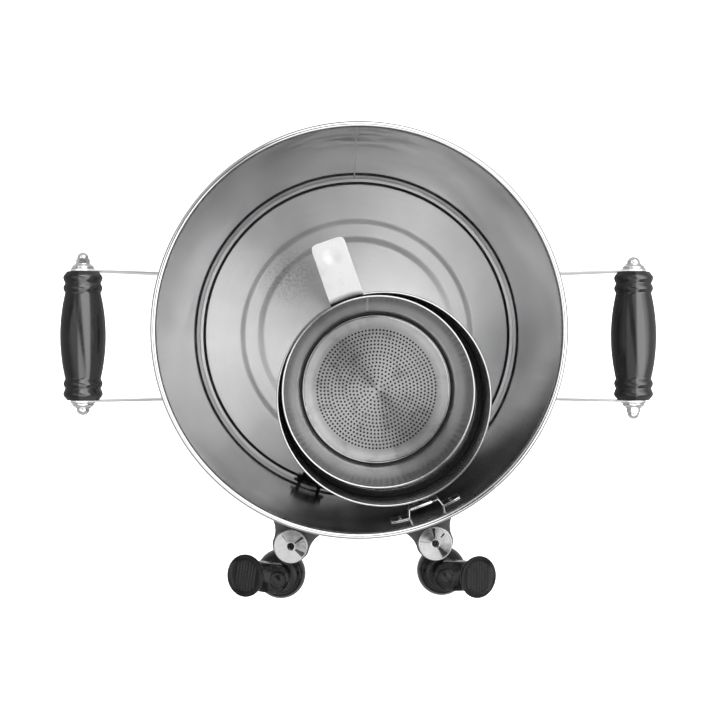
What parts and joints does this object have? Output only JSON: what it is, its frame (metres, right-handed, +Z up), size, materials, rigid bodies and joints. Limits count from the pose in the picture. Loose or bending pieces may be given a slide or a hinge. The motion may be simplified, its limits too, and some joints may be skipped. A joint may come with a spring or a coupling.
{
  "type": "tea urn",
  "caption": "Open stainless tea urn with black side grips, lever taps and sight gauges at the front, and a lift-out perforated infuser hung inside on a hooked sleeve.",
  "frame": {"origin": "on the tank's axis, on the surface that the feet stand on", "axes": "+Z up, -Y the front with the taps, +X to the right seen from the front"},
  "size_m": [0.4522, 0.3865, 0.415],
  "materials": {
    "steel": "satin rolled stainless sheet",
    "bright_steel": "bright turned metal",
    "black_plastic": "moulded black plastic",
    "grip_black": "turned glossy black",
    "grey_plastic": "moulded dark grey plastic",
    "rubber": "matt black rubber",
    "silicone": "translucent white silicone",
    "glass": "clear drawn tube"
  },
  "bodies": {
    "urn": {"tank_wall": "steel", "tank_floor": "steel", "base_ring": "steel", "feet": "rubber", "foot_screws": "bright_steel", "foot_nuts": "bright_steel", "infuser_clip": "steel", "left_handle_bracket": "steel", "right_handle_bracket": "steel", "left_grip": "grip_black", "right_grip": "grip_black", "left_handle_bolt": "bright_steel", "right_handle_bolt": "bright_steel", "left_cap_nut": "bright_steel", "right_cap_nut": "bright_steel", "handle_ferrules": "bright_steel", "gauge_seals": "rubber", "bracket_studs": "steel", "left_tap_body": "black_plastic", "left_gauge_tee": "black_plastic", "left_outer_gasket": "rubber", "left_inner_gasket": "silicone", "left_lock_nut": "black_plastic", "left_bonnet": "black_plastic", "left_spring": "bright_steel", "left_gauge_glass": "glass", "left_gauge_guard": "bright_steel", "left_gauge_cap": "bright_steel", "left_gauge_bracket": "grey_plastic", "right_tap_body": "black_plastic", "right_gauge_tee": "black_plastic", "right_outer_gasket": "rubber", "right_inner_gasket": "silicone", "right_lock_nut": "black_plastic", "right_bonnet": "black_plastic", "right_spring": "bright_steel", "right_gauge_glass": "glass", "right_gauge_guard": "bright_steel", "right_gauge_cap": "bright_steel", "right_gauge_bracket": "grey_plastic"},
    "left_swivel": {"left_swivel_collar": "black_plastic", "left_lever_pin": "bright_steel"},
    "left_lever": {"left_lever": "black_plastic"},
    "left_stem": {"left_stem": "grey_plastic", "left_seat_cup": "silicone"},
    "right_swivel": {"right_swivel_collar": "black_plastic", "right_lever_pin": "bright_steel"},
    "right_lever": {"right_lever": "black_plastic"},
    "right_stem": {"right_stem": "grey_plastic", "right_seat_cup": "silicone"},
    "holder": {"holder_sleeve": "steel", "holder_hook": "steel"},
    "infuser": {"infuser_cup": "steel", "infuser_screen": "steel", "infuser_tab": "steel"}
  },
  "joints": [
    {"name": "left_swivel_turn", "type": "hinge", "parent": "urn", "child": "left_swivel", "pos_m": [-0.06803, -0.21447, 0.167], "axis": [0, 0, 1], "continuous": true},
    {"name": "left_lever_press", "type": "hinge", "parent": "left_swivel", "child": "left_lever", "pos_m": [-0.07714, -0.21319, 0.178], "axis": [-0.1392, -0.9903, 0], "range_deg": [0, 25]},
    {"name": "left_stem_lift", "type": "slide", "parent": "left_swivel", "child": "left_stem", "axis": [0, 0, 1], "range_m": [0, 0.004], "stiffness_N_per_m": 600, "springref_m": -0.008, "deforming": ["left_spring"]},
    {"name": "right_swivel_turn", "type": "hinge", "parent": "urn", "child": "right_swivel", "pos_m": [0.07585, -0.21183, 0.167], "axis": [0, 0, 1], "continuous": true},
    {"name": "right_lever_press", "type": "hinge", "parent": "right_swivel", "child": "right_lever", "pos_m": [0.08505, -0.21183, 0.178], "axis": [0, 1, 0], "range_deg": [0, 25]},
    {"name": "right_stem_lift", "type": "slide", "parent": "right_swivel", "child": "right_stem", "axis": [0, 0, 1], "range_m": [0, 0.004], "stiffness_N_per_m": 600, "springref_m": -0.008, "deforming": ["right_spring"]},
    {"name": "holder_lift", "type": "slide", "parent": "urn", "child": "holder", "axis": [0, 0, 1], "range_m": [0, 0.13]},
    {"name": "infuser_lift", "type": "slide", "parent": "holder", "child": "infuser", "axis": [0, 0, 1], "range_m": [0, 0.125]}
  ],
  "couplings": [
    {"joint": "left_lever_press", "follows": "left_stem_lift", "rad_per_m": 109},
    {"joint": "right_lever_press", "follows": "right_stem_lift", "rad_per_m": 109}
  ]
}
